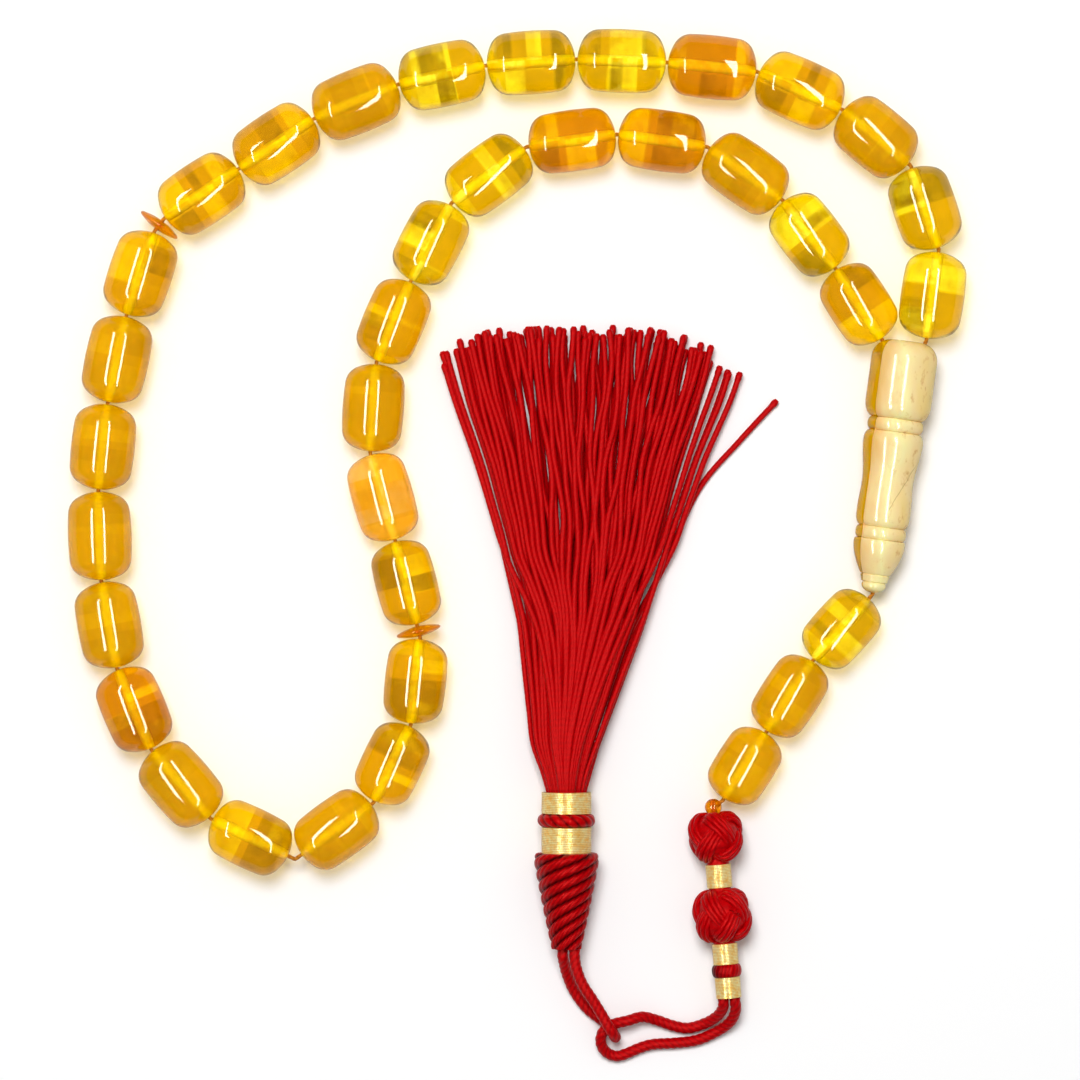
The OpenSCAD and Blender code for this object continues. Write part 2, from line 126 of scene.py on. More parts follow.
def make_world():
    """An even sky, darker near the horizon. It is white to the camera and nearly so through
    glass, and polished surfaces mirror it only faintly."""
    full, mirrored, through_glass = 0.38, 0.1, 0.75
    # Height above the horizon, from 0 to 1, and brightness there
    horizon, overhead = (0.05, 0.4), (0.5, 1)
    world = bpy.data.worlds.new("studio")
    bpy.context.scene.world = world
    world.use_nodes = True
    tree = world.node_tree
    sky = tree.nodes["Background"]
    place = tree.nodes.new("ShaderNodeTexCoord")
    split = tree.nodes.new("ShaderNodeSeparateXYZ")
    ramp = tree.nodes.new("ShaderNodeValToRGB")
    for element, (height, grey) in zip(ramp.color_ramp.elements, (horizon, overhead)):
        element.position = height
        element.color = (grey, grey, grey, 1)
    tree.links.new(place.outputs["Generated"], split.inputs[0])
    tree.links.new(split.outputs["Z"], ramp.inputs[0])
    tree.links.new(ramp.outputs[0], sky.inputs["Color"])
    path = tree.nodes.new("ShaderNodeLightPath")
    dim = tree.nodes.new("ShaderNodeMapRange")
    dim.inputs["To Min"].default_value = full
    dim.inputs["To Max"].default_value = mirrored
    tree.links.new(path.outputs["Is Glossy Ray"], dim.inputs["Value"])
    seen = tree.nodes.new("ShaderNodeMath")
    seen.operation = "MULTIPLY_ADD"
    seen.inputs[1].default_value = through_glass
    tree.links.new(path.outputs["Is Transmission Ray"], seen.inputs[0])
    tree.links.new(path.outputs["Is Camera Ray"], seen.inputs[2])
    brightest = tree.nodes.new("ShaderNodeMath")
    brightest.operation = "MAXIMUM"
    tree.links.new(dim.outputs[0], brightest.inputs[0])
    tree.links.new(seen.outputs[0], brightest.inputs[1])
    tree.links.new(brightest.outputs[0], sky.inputs["Strength"])


def make_floor():
    """White table, greyer in reflections. Seen through glass it gives some light of its own."""
    half = 3
    plain, mirrored, glow_strength = 0.96, 0.5, 0.51
    below = 0.02
    mesh = bpy.data.meshes.new("table")
    corners = [(-half, -half, 0), (half, -half, 0), (half, half, 0), (-half, half, 0)]
    mesh.from_pydata(corners, [], [(0, 1, 2, 3)])
    floor = bpy.data.objects.new("table", mesh)
    floor.location.z = -below * MM
    bpy.context.scene.collection.objects.link(floor)
    mat = bpy.data.materials.new("table")
    mat.use_nodes = True
    tree = mat.node_tree
    tree.nodes.clear()
    out = tree.nodes.new("ShaderNodeOutputMaterial")
    both = tree.nodes.new("ShaderNodeAddShader")
    white = tree.nodes.new("ShaderNodeBsdfDiffuse")
    shade = tree.nodes.new("ShaderNodeMapRange")
    shade.inputs["To Min"].default_value = plain
    shade.inputs["To Max"].default_value = mirrored
    glow = tree.nodes.new("ShaderNodeEmission")
    path = tree.nodes.new("ShaderNodeLightPath")
    seen = tree.nodes.new("ShaderNodeMath")
    seen.operation = "MULTIPLY"
    seen.inputs[1].default_value = glow_strength
    tree.links.new(path.outputs["Is Glossy Ray"], shade.inputs["Value"])
    tree.links.new(shade.outputs[0], white.inputs["Color"])
    tree.links.new(path.outputs["Is Transmission Ray"], seen.inputs[0])
    tree.links.new(seen.outputs[0], glow.inputs["Strength"])
    tree.links.new(white.outputs[0], both.inputs[0])
    tree.links.new(glow.outputs[0], both.inputs[1])
    tree.links.new(both.outputs[0], out.inputs["Surface"])
    mesh.materials.append(mat)


# ---- Materials ----


def new_material(name, **values):
    """A Principled material with the given uniform values set on its own sockets."""
    mat = bpy.data.materials.new(name)
    mat.use_nodes = True
    shader = mat.node_tree.nodes["Principled BSDF"]
    for key, value in values.items():
        shader.inputs[key.replace("_", " ")].default_value = value
    return mat


class Nodes:
    """Short calls for adding nodes to one material."""

    def __init__(self, mat):
        self.tree = mat.node_tree
        self.shader = self.tree.nodes["Principled BSDF"]
        self.place = self.add("TexCoord").outputs["Object"]

    def add(self, kind, **settings):
        node = self.tree.nodes.new("ShaderNode" + kind)
        for key, value in settings.items():
            setattr(node, key, value)
        return node

    def link(self, output, target):
        self.tree.links.new(output, target)

    def scaled(self, scale, shift=(0, 0, 0)):
        """The place in the piece's own frame, times scale, which is per millimetre."""
        node = self.add("Mapping")
        self.link(self.place, node.inputs["Vector"])
        node.inputs["Scale"].default_value = [s / MM for s in scale]
        node.inputs["Location"].default_value = shift
        return node.outputs[0]

    def noise(self, scale, detail=3, rough=0.5, shift=(0, 0, 0)):
        """Cloud noise from 0 to 1."""
        node = self.add("TexNoise")
        node.inputs["Scale"].default_value = 1
        node.inputs["Detail"].default_value = detail
        node.inputs["Roughness"].default_value = rough
        self.link(self.scaled(scale, shift), node.inputs["Vector"])
        return node.outputs["Fac"]

    def ramp(self, source, stops):
        """A colour ramp with (place, colour) stops."""
        node = self.add("ValToRGB")
        band = node.color_ramp
        while len(band.elements) < len(stops):
            band.elements.new(0.5)
        for element, (place, colour) in zip(band.elements, stops):
            element.position = place
            element.color = (*colour, 1)
        self.link(source, node.inputs[0])
        return node.outputs[0]

    def mix(self, share, a, b, kind="MIX"):
        """Colour a to colour b by share. Each is an output or a plain value."""
        node = self.add("Mix", data_type="RGBA", blend_type=kind)
        for socket, value in ((0, share), (6, a), (7, b)):
            if isinstance(value, bpy.types.NodeSocket):
                self.link(value, node.inputs[socket])
            elif socket == 0:
                node.inputs[0].default_value = value
            else:
                node.inputs[socket].default_value = (*value, 1)
        return node.outputs[2]

    def attribute(self, name):
        return self.add("Attribute", attribute_name=name).outputs["Fac"]

    def math(self, operation, *values):
        """Arithmetic on outputs and plain numbers."""
        node = self.add("Math", operation=operation)
        for socket, value in zip(node.inputs, values):
            if isinstance(value, bpy.types.NodeSocket):
                self.link(value, socket)
            else:
                socket.default_value = value
        return node.outputs[0]

    def painted_light_shade_zones(self, along, offset, scale, level, share):
        """Hard-edged, cloudy zones along an axis that hold painted light and shade: up to share in them, and 0
        elsewhere.
        """
        edge_width = 0.015
        node = self.add("TexNoise", noise_dimensions="1D")
        node.inputs["Scale"].default_value = 1
        node.inputs["Detail"].default_value = 0
        self.link(self.math("MULTIPLY_ADD", along, scale, offset), node.inputs["W"])
        inside = (share, share, share)
        zone = self.ramp(
            node.outputs["Fac"], [(level, (0, 0, 0)), (level + edge_width, inside)]
        )
        # The level also moves the cloud, so that two sets of zones have two clouds
        cloud = self.noise((0.25, 0.25, 0.25), detail=3, shift=(level * 50, 0, 0))
        thinned = self.ramp(cloud, [(0.38, (0.25, 0.25, 0.25)), (0.55, (1, 1, 1))])
        return self.math("MULTIPLY", zone, thinned)

    def shadow_tint(self, going_in, going_out):
        """Shadow rays pass through the surface and take a colour from it, one where they go
        into the solid and another where they come out."""
        out = next(x for x in self.tree.nodes if x.type == "OUTPUT_MATERIAL")
        through = self.add("BsdfTransparent")
        leaving = self.add("NewGeometry").outputs["Backfacing"]
        self.link(self.mix(leaving, going_in, going_out), through.inputs["Color"])
        choice = self.add("MixShader")
        self.link(self.add("LightPath").outputs["Is Shadow Ray"], choice.inputs[0])
        self.link(self.shader.outputs[0], choice.inputs[1])
        self.link(through.outputs[0], choice.inputs[2])
        self.link(choice.outputs[0], out.inputs["Surface"])

    def bump(self, source, height, strength=1.0):
        """Bump from a grey value, height in millimetres."""
        node = self.add("Bump")
        node.inputs["Strength"].default_value = strength
        node.inputs["Distance"].default_value = height * MM
        self.link(source, node.inputs["Height"])
        self.link(node.outputs[0], self.shader.inputs["Normal"])


def amber_material(name, body, light, dark, clear, milk, painted_light_shade_zones):
    """Polished amber resin. body is its main colour, light the colour of its zones of painted
    light, and dark both its deeper cloudy tone and the colour of its zones of painted shade.
    clear is how much light passes, milk how much scatters inside, and the last how strongly
    the straight zones of painted light and shade across the bore show. A piece's points hold
    their place along its axis and across it, from -1 to 1, and its own seed."""
    mat = new_material(
        name,
        Roughness=0.03,
        IOR=1.5,
        Transmission_Weight=clear,
        Subsurface_Weight=milk,
        Subsurface_Scale=0.004,
        Subsurface_Radius=(1.0, 0.45, 0.08),
    )
    n = Nodes(mat)
    tint = n.ramp(n.noise((0.16, 0.16, 0.16), detail=2), [(0.35, dark), (0.5, body), (0.8, body)])
    tint = n.mix(0.7, tint, body)
    along = n.attribute("along")
    across = n.attribute("across")
    seed = n.attribute("seed")
    side = n.math("SIGN", across)
    offset = n.math("MULTIPLY_ADD", seed, 40, n.math("MULTIPLY", side, 7))
    # The zones of painted light and shade fade out before the rims
    edge = n.ramp(n.math("ABSOLUTE", across), [(0.86, (1, 1, 1)), (0.97, (0, 0, 0))])
    # Painted light: bright zones that stand for light refracted through the bead
    painted_light = n.painted_light_shade_zones(along, offset, 1.0, 0.54, painted_light_shade_zones)
    tint = n.mix(n.math("MULTIPLY", painted_light, edge), tint, light)
    # Painted shade: darker zones that stand for shade seen through the bead
    painted_shade = n.painted_light_shade_zones(along, n.math("ADD", offset, 90), 0.9, 0.56, painted_light_shade_zones)
    tint = n.mix(n.math("MULTIPLY", painted_shade, edge), tint, dark)
    n.link(tint, n.shader.inputs["Base Color"])
    n.bump(n.noise((0.5, 0.5, 0.5), detail=2), 0.02, 0.3)
    # Lamps shine through the resin, so its bore is lit and its shadow is warm
    n.shadow_tint((0.42, 0.35, 0.2), (0.98, 0.95, 0.85))
    return mat


def bore_material():
    """The wall of a bore: ground, so it scatters the light that comes through the amber."""
    mat = new_material("bore_wall", Roughness=0.6)
    n = Nodes(mat)
    streaks = n.noise((0.9, 0.9, 0.9), detail=3)
    tint = n.ramp(streaks, [(0.35, (1.0, 0.74, 0.05)), (0.6, (1.0, 0.94, 0.4))])
    n.link(tint, n.shader.inputs["Base Color"])
    return mat


def ivory_material():
    """Cream resin from peach to lemon, the change across it partly its own tone and partly
    painted shade towards its sides with a painted highlight down its middle, with brown flecks
    and one fine line. A piece's points hold their place across it, from -1 to 1, and their
    station along it."""
    mat = new_material(
        "ivory_resin",
        Roughness=0.13,
        IOR=1.5,
        Subsurface_Weight=0.3,
        Subsurface_Scale=0.0015,
        Subsurface_Radius=(1.0, 0.6, 0.25),
    )
    n = Nodes(mat)
    across = n.attribute("across")
    wave = n.math("MULTIPLY_ADD", n.noise((0.2, 0.08, 0.2), detail=3), 0.8, -0.4)
    place = n.math("ADD", wave, n.math("MULTIPLY_ADD", across, 0.5, 0.5))
    # Across it the colour goes from peach to lemon: partly its own tone, and partly painted shade towards both
    # sides with a painted highlight in the middle
    cream_and_painted_light = n.ramp(
        place,
        [
            (0.08, (0.85, 0.5, 0.13)),
            (0.3, (0.93, 0.66, 0.3)),
            (0.5, (0.98, 0.87, 0.42)),
            (0.72, (0.95, 0.73, 0.35)),
            (0.95, (0.9, 0.66, 0.22)),
        ],
    )
    fleck = n.ramp(
        n.noise((0.9, 0.5, 0.9), detail=4, rough=0.6),
        [(0.56, (0, 0, 0)), (0.74, (0.9, 0.9, 0.9))],
    )
    brown = (0.62, 0.27, 0.05)
    cream_and_painted_light = n.mix(n.math("MULTIPLY", fleck, n.math("ADD", across, 0.35)), cream_and_painted_light, brown)
    # One fine line runs slantwise down the waist, wandering a little
    slant, crossing, half_width = 11.7, 28.8, 0.22
    station = n.attribute("station")
    wander = n.math("ADD", station, n.noise((0.5, 0.5, 0.5), detail=2))
    level = n.math("MULTIPLY_ADD", across, slant, wander)
    off = n.math("ABSOLUTE", n.math("SUBTRACT", level, crossing))
    line = n.ramp(n.math("DIVIDE", off, half_width), [(0.3, (0.5, 0.5, 0.5)), (1, (0, 0, 0))])
    waist = n.ramp(
        n.math("DIVIDE", station, IMAME_LEN),
        [(0.47, (0, 0, 0)), (0.5, (1, 1, 1)), (0.66, (1, 1, 1)), (0.68, (0, 0, 0))],
    )
    line = n.math("MULTIPLY", line, waist)
    n.link(n.mix(line, cream_and_painted_light, (0.4, 0.24, 0.06)), n.shader.inputs["Base Color"])
    return mat


def cord_material(name, light, dark, rough=0.36):
    """Satin thread: fine fibres, painted shade in its grooves, and a soft sheen."""
    mat = new_material(
        name,
        Roughness=rough,
        Specular_IOR_Level=0.5,
        Specular_Tint=(1, 0.08, 0.08, 1),
        Sheen_Weight=0.03,
        Sheen_Roughness=0.4,
        Sheen_Tint=(1, 0.05, 0.04, 1),
    )
    n = Nodes(mat)
    groove = n.attribute("groove")
    fibre = n.noise((3.5, 3.5, 3.5), detail=3, rough=0.65)
    # Painted shade: the colour goes dark in the grooves between plies
    tint = n.mix(groove, light, dark)
    spots = n.ramp(fibre, [(0.35, (0.55, 0.55, 0.55)), (0.65, (1, 1, 1))])
    n.link(n.mix(0.5, tint, n.mix(1.0, tint, spots, "MULTIPLY")), n.shader.inputs["Base Color"])
    n.bump(fibre, 0.06, 0.6)
    return mat


def gold_material():
    """Wound metallic thread, with painted brown shade in its grooves."""
    mat = new_material("gold_thread", Metallic=0.35, Roughness=0.28)
    n = Nodes(mat)
    groove = n.attribute("groove")
    glint = n.ramp(
        n.noise((1.2, 1.2, 1.2), detail=3, rough=0.7),
        [(0.35, (1.0, 0.6, 0.12)), (0.65, (1.0, 0.96, 0.5))],
    )
    # Painted shade: brown in the grooves between windings
    n.link(n.mix(groove, glint, (0.62, 0.33, 0.06)), n.shader.inputs["Base Color"])
    n.bump(n.noise((2.5, 2.5, 2.5), detail=2), 0.05, 0.5)
    return mat


# ---- Meshes ----


def add_piece(name, points, faces, mat, body, stands_for=(), slot=None, sharp=40, **values):
    """A smooth mesh object from points in millimetres. It rides on a body and may stand
    for CAD nodes. values are named numbers for its points, such as the painted shade in
    grooves."""
    mesh = bpy.data.meshes.new(name)
    mesh.from_pydata((np.asarray(points, float) * MM).tolist(), [], faces)
    mesh.polygons.foreach_set("use_smooth", [True] * len(mesh.polygons))
    mesh.set_sharp_from_angle(angle=math.radians(sharp))
    for key, value in values.items():
        attribute = mesh.attributes.new(key, "FLOAT", "POINT")
        row = np.broadcast_to(np.asarray(value, np.float32), len(mesh.vertices))
        attribute.data.foreach_set("value", row.copy())
    mesh.materials.append(mat)
    piece = bpy.data.objects.new(name, mesh)
    bpy.context.scene.collection.objects.link(piece)
    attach(piece, body)
    if stands_for:
        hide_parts(*stands_for)
    return piece


def grid_faces(rows, columns, closed_rows=False):
    """Quads between rows of points, each row a closed ring."""
    faces = []
    for i in range(rows if closed_rows else rows - 1):
        low, high = i * columns, (i + 1) % rows * columns
        for k in range(columns):
            after = (k + 1) % columns
            faces.append((low + k, low + after, high + after, high + k))
    return faces


def axis_frame(axis):
    """Three unit vectors: two across the axis, and the axis."""
    z = np.array(axis, float)
    z /= np.linalg.norm(z)
    x = np.cross((0, 0, 1), z)
    x /= np.linalg.norm(x)
    return x, np.cross(z, x), z


def lathe(profile, centre, axis, steps, cut=None):
    """Rings of points turned about an axis from (radius, station) pairs. cut, one row of
    depths for each ring, is taken off the radius."""
    x, y, z = axis_frame(axis)
    turns = np.linspace(0, 2 * math.pi, steps, endpoint=False)
    points = []
    for i, (radius, station) in enumerate(profile):
        r = radius - (cut[i] if cut is not None else np.zeros(steps))
        ring = np.outer(r * np.cos(turns), x) + np.outer(r * np.sin(turns), y)
        points.append(np.array(centre) + ring + z * station)
    return np.concatenate(points)


def wound(profile, centre, axis, steps, pitch, depth, starts=1, ply=(0, 1, 0), inner=None):
    """A turned body wound with thread, as points, faces and painted shade for its grooves.
    pitch is the distance between turns along the axis, depth that of the grooves, and starts
    how many threads run side by side. ply gives the twist inside each thread: how many ridges
    go round, their spacing along the axis and their depth. inner is the radius of its hole."""
    turns = np.linspace(0, 1, steps, endpoint=False)[None, :]
    stations = np.array([s for _, s in profile])[:, None]
    groove = 1 - np.abs(np.cos(math.pi * (stations / pitch + starts * turns)))
    ridge = 1 - np.abs(np.cos(math.pi * (ply[0] * turns - stations / ply[1])))
    cut = depth * groove**1.5 + ply[2] * ridge
    # Painted shade, darkest in the grooves and in the valleys between ridges
    shade = np.clip(groove**2 + (0.5 * ridge if ply[2] else 0), 0, 1)
    if inner:
        ends = [(inner, profile[-1][1]), (inner, profile[0][1])]
        cut = np.vstack([cut, np.zeros((2, steps))])
        shade = np.vstack([shade, np.ones((2, steps))])
        profile = list(profile) + ends
    faces = [f[::-1] for f in grid_faces(len(profile), steps, closed_rows=bool(inner))]
    if not inner:
        last = (len(profile) - 1) * steps
        faces.append(tuple(range(steps)))
        faces.append(tuple(range(last, last + steps))[::-1])
    return lathe(profile, centre, axis, steps, cut), faces, shade.ravel()


def arc(centre, radius, start, end, steps):
    """Points (radius, station) on an arc. Angles are from the axis, in radians."""
    angles = np.linspace(start, end, steps)
    return [(centre[0] + radius * math.sin(a), centre[1] + radius * math.cos(a)) for a in angles]


def smooth_route(points, steps):
    """A smooth curve through points, with steps to each span."""
    p = [np.array(q, float) for q in points]
    p = [p[0]] + p + [p[-1]]
    route = []
    for i in range(1, len(p) - 2):
        a, b, c, d = p[i - 1 : i + 3]
        for t in np.linspace(0, 1, steps, endpoint=False):
            route.append(
                0.5
                * (
                    2 * b
                    + (c - a) * t
                    + (2 * a - 5 * b + 4 * c - d) * t**2
                    + (3 * b - a - 3 * c + d) * t**3
                )
            )
    return np.array(route + [p[-2]])


def even_steps(route, gap):
    """The same line with points at an even distance, about gap apart."""
    route = np.asarray(route, float)
    lengths = np.linalg.norm(np.diff(route, axis=0), axis=1)
    run = np.concatenate([[0], np.cumsum(lengths)])
    at = np.linspace(0, run[-1], max(2, round(run[-1] / gap) + 1))
    return np.stack([np.interp(at, run, route[:, k]) for k in range(3)], axis=1)


def carried_frames(route, closed=False):
    """A heading, and two vectors across it that turn as little as they can, at each point."""
    if closed:
        heading = np.roll(route, -1, axis=0) - np.roll(route, 1, axis=0)
    else:
        heading = np.gradient(route, axis=0)
    heading /= np.linalg.norm(heading, axis=1)[:, None]
    side = np.zeros_like(route)
    v = np.array((0.1, 0.2, 1.0))
    for i, h in enumerate(heading):
        v = v - h * (v @ h)
        v /= np.linalg.norm(v)
        side[i] = v
    return heading, side, np.cross(heading, side)


def rope(route, radius, plies, pitch, sides=12, depth=0.3, closed=False):
    """Points, faces and painted shade for the grooves of a twisted rope along a route. plies
    is its number of strands, pitch the length in which they turn once, and depth the share
    of the radius lost in the grooves. radius is one number or one for each point."""
    route = np.asarray(route, float)
    _, side, up = carried_frames(route, closed)
    lengths = np.linalg.norm(np.diff(route, axis=0), axis=1)
    run = np.concatenate([[0], np.cumsum(lengths)])
    total = run[-1] + (np.linalg.norm(route[0] - route[-1]) if closed else 0)
    turns = round(total / pitch) if closed else total / pitch
    angles = np.linspace(0, 2 * math.pi, sides, endpoint=False)
    twist = 2 * math.pi * turns * run / total
    lobe = np.abs(np.cos(plies / 2 * (angles[None, :] - twist[:, None])))
    r = (np.ones(len(route)) * radius)[:, None] * (1 - depth + depth * lobe)
    points = (
        route[:, None, :]
        + (r * np.cos(angles))[:, :, None] * side[:, None, :]
        + (r * np.sin(angles))[:, :, None] * up[:, None, :]
    )
    faces = grid_faces(len(route), sides, closed)
    if not closed:
        last = (len(route) - 1) * sides
        faces.append(tuple(range(sides))[::-1])
        faces.append(tuple(range(last, last + sides)))
    # The third part is painted shade, darkest in the grooves between plies
    return points.reshape(-1, 3), faces, (1 - lobe).ravel() ** 2


def joined(parts):
    """Several (points, faces, painted shade for grooves) as one."""
    points, faces, grooves, start = [], [], [], 0
    for p, f, g in parts:
        points.append(p)
        grooves.append(g)
        faces += [tuple(start + k for k in face) for face in f]
        start += len(p)
    return np.concatenate(points), faces, np.concatenate(grooves)


def node_centre(node):
    low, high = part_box(node)
    return np.array((low + high) / 2) / MM


# ---- Routes, repeated from the CAD source ----

STRING = [
    (65.5, 27.5), (67.5, 42), (63, 55.5), (52, 64.5), (38.5, 70.5), (24, 72), (9.5, 72.5),
    (-5, 71.5), (-19, 68.5), (-32.5, 63), (-44.5, 55), (-56.5, 47), (-58, 45),
    (-62.5, 31.5), (-65.5, 17.5), (-67, 3.5), (-66.5, -11), (-64, -25), (-58.5, -38),
    (-49, -49), (-35.5, -55.5), (-23, -46.5), (-17, -34), (-15.5, -20), (-16, -18),
    (-19.5, -4.5), (-23.5, 9.5), (-22.5, 24), (-17, 37), (-10.5, 49.5), (1.5, 58.5),
    (16, 60.5), (30.5, 58.5), (42.5, 50), (51, 39), (58.5, 27.5),
]
TAIL = [(57, -13), (47.5, -23.5), (40, -35), (33, -46)]
CORE = [(31.5, -47), (34, -77.5)]
BEAD_D = 10.2
# Beads from this one on are slimmer, and the thread runs lower past this point of the string
SLIM_FROM, SLIM_POINT = 19, 19
SLIM_D = BEAD_D * 0.965
TAIL_BEAD_D = BEAD_D * 0.93
HEAD_TOP = np.array((62.35, 27.4, 5.45))
LEAN, DIP = math.radians(7.7), math.radians(0.8)
IMAME_LEN = 40.6
IMAME_DIR = np.array(
    (-math.sin(LEAN) * math.cos(DIP), -math.cos(LEAN) * math.cos(DIP), -math.sin(DIP))
)
IMAME_TIP = HEAD_TOP + IMAME_DIR * IMAME_LEN
JUNCTION = HEAD_TOP + IMAME_DIR * 9
# The tail and all that hangs on it follow the imame's tip
SHIFT = np.array((IMAME_TIP[0] - 57, IMAME_TIP[1] + 12.7, 0))
CORE_Z = 4.9
CORE_A = np.array((*CORE[0], CORE_Z)) + SHIFT
CORE_B = np.array((*CORE[1], CORE_Z)) + SHIFT
CORE_DIR = (CORE_B - CORE_A) / np.linalg.norm(CORE_B - CORE_A)
CORE_LEN = round(float(np.linalg.norm(CORE_B - CORE_A)), 3)
CORE_SIDE = np.array((-CORE_DIR[1], CORE_DIR[0], 0))
CORD_D = 1.8
LINK_UPPER = [
    (33, -79.4, 4), (32, -80.8, 2.6), (30, -82, 1.3), (27.5, -82.7, 0.9),
    (25.1, -82.3, 0.9), (22.5, -81.4, 1.3), (20.2, -80.8, 2.3), (18, -81.3, 3),
]
LINK_LOWER = [
    (19.8, -85.9, 0.9), (22, -85.3, 0.9), (25.5, -85.1, 0.9), (29.1, -84.6, 0.9),
    (32.4, -83.1, 1.2), (34.4, -81.4, 2.6), (35.1, -79.5, 4.1),
]
# Angle round the bight's centre, and height
BIGHT = [
    (100, 3), (122, 3), (150, 2.9), (180, 2.4), (210, 1.7), (240, 1.1), (270, 0.9), (300, 0.9)
]
BIGHT_CENTRE = (16.2, -84.5)
BIGHT_R = 2.7
EYE_R = 2.1
EYE_TURN = math.radians(122)
EYE_Z = 3.0
LOOP_DOWN = [
    (7.4, -70.9, 4.9), (8, -73.6, 2.8), (9.2, -76.6, 1.3), (11.2, -79.4, 0.9), (13.4, -81.2, 0.9)
]
LOOP_UP = [
    (13.8, -80.5, 5.2), (12.3, -78, 5.4), (10.6, -75.4, 5.6), (9.6, -72.8, 5.6), (9.3, -70.9, 5.7)
]
TASSEL_X, TASSEL_Z = 8, 5.4
SKIRT_NECK_Y = -44.6
# Sections of the tassel's fan: y, left and right edge, bottom and top
FAN = [
    (-46.5, 4.9, 11.1, 2.3, 8.5),
    (-44.6, 4.7, 11.3, 2.1, 8.7),
    (-42, 3.6, 12.3, 1.1, 9.4),
    (-38, 1.8, 14, 0.5, 9),
    (-30, 0.8, 17.2, 0.1, 7.8),
    (-17, -0.5, 22.2, 0, 6.2),
    (-4, -3.2, 26.2, 0, 5),
    (8, -6.8, 30.4, 0, 4.2),
    (18, -10.4, 34.8, 0, 3.6),
    (30, -14, 39, 0, 3.2),
]


def ring_point(angle, z):
    a = math.radians(angle)
    return (
        BIGHT_CENTRE[0] + BIGHT_R * math.cos(a),
        BIGHT_CENTRE[1] + BIGHT_R * math.sin(a),
        z,
    )


# ---- Cords ----


def link_route():
    """From the last sleeve's mouth, round the bight and back."""
    mouth = np.array((*CORE[1], CORE_Z))
    off, lead, start = 0.92, 0.7, 0.05
    inner = [mouth + CORE_DIR * lead - CORE_SIDE * off]
    inner += LINK_UPPER + [ring_point(a, z) for a, z in BIGHT] + LINK_LOWER
    inner += [mouth + CORE_DIR * lead + CORE_SIDE * off]
    ends = [mouth + CORE_DIR * start + CORE_SIDE * off * s for s in (-1, 1)]
    return np.vstack([ends[0], smooth_route(inner, 8), ends[1]]) + SHIFT


def tassel_loop_route():
    """From the cone knot, through the link cord's bight and back."""
    start, end = (7.4, -69.75, 4.9), (9.3, -69.75, 5.7)
    eye = np.array(ring_point(math.degrees(EYE_TURN), EYE_Z))
    out = np.array((-math.cos(EYE_TURN), -math.sin(EYE_TURN), 0))
    turn = [
        eye + EYE_R * (out * math.cos(a) + np.array((0, 0, math.sin(a))))
        for a in np.radians(range(-90, 91, 30))
    ]
    return np.vstack([start, smooth_route([*LOOP_DOWN, *turn, *LOOP_UP], 6), end]) + SHIFT


def make_link_cords(mat):
    """The doubled cord below the tail, and the tassel's own loop through it."""
    for name, route, body in (
        ("link_rope", link_route(), "tail"),
        ("tassel_loop_rope", tassel_loop_route(), "tassel"),
    ):
        route = even_steps(route, 0.25)
        points, faces, groove = rope(route, CORD_D / 2, 4, 4.2, sides=24, depth=0.12)
        node = "link_cord" if name == "link_rope" else "tassel_loop"
        # Painted shade in its grooves, at a little over half strength
        piece = add_piece(name, points, faces, mat, body, [node], "red_cord", groove=groove * 0.6)


STRANDS = 92
LOOSE_CORDS = 36
# Neighbours lie at these heights in the tassel, from -1 to 1
HEIGHTS = [0.95, -0.35, 0.55, -0.9]
STRAND_D = 1.0
# Where the strands end, by their place across the fan from -1 to 1
TIP_PLACES = [-1.0, -0.92, -0.8, -0.6, -0.2, 0.2, 0.5, 0.7, 0.85, 1.0]
TIP_YS = [25.4, 26.6, 28.2, 29.4, 29.7, 29.6, 28.8, 27.2, 25.2, 22.6]


def strand_route(across, height, reach, rng):
    """One strand from inside the gold band to its tip."""
    fan = np.array(FAN, float)
    y = np.linspace(fan[0][0], reach, 61)
    left, right, low, high = (np.interp(y, fan[:, 0], fan[:, k]) for k in range(1, 5))
    r = STRAND_D / 2
    grow = np.clip((y - fan[0][0]) / 40, 0, 1) ** 1.5
    sway = sum(
        size * np.sin(2 * math.pi * (y / wave + rng.random()))
        for size, wave in ((0.45, 34), (0.25, 17))
    )
    # Strands that lie high or low in the tassel start nearer its middle
    room = np.sqrt(np.clip(1 - height**2, 0, 1))
    spread = across * (room + (1 - room) * grow)
    x = (left + right) / 2 + (right - left - 2 * r) / 2 * spread + sway * grow * (1 - across**2)
    z = low + r + (high - low - 2 * r) * (height * np.sqrt(1 - spread**2) + 1) / 2
    route = np.stack([x, y, z], axis=1)
    return even_steps(smooth_route(route[::4], 6), 0.4) + SHIFT


def stray_route():
    """The strand that lies away from the others on the right."""
    points = [(10.4, -46.5, 5.4), (11.6, -42, 4.6), (15.2, -30, 2.4), (19.6, -17, 1.1)]
    points += [(24.2, -7.3, 0.6), (29.3, 3.9, 0.6), (35.8, 11.6, 0.6), (41.9, 18.2, 0.6)]
    return even_steps(smooth_route(points, 8), 0.4) + SHIFT


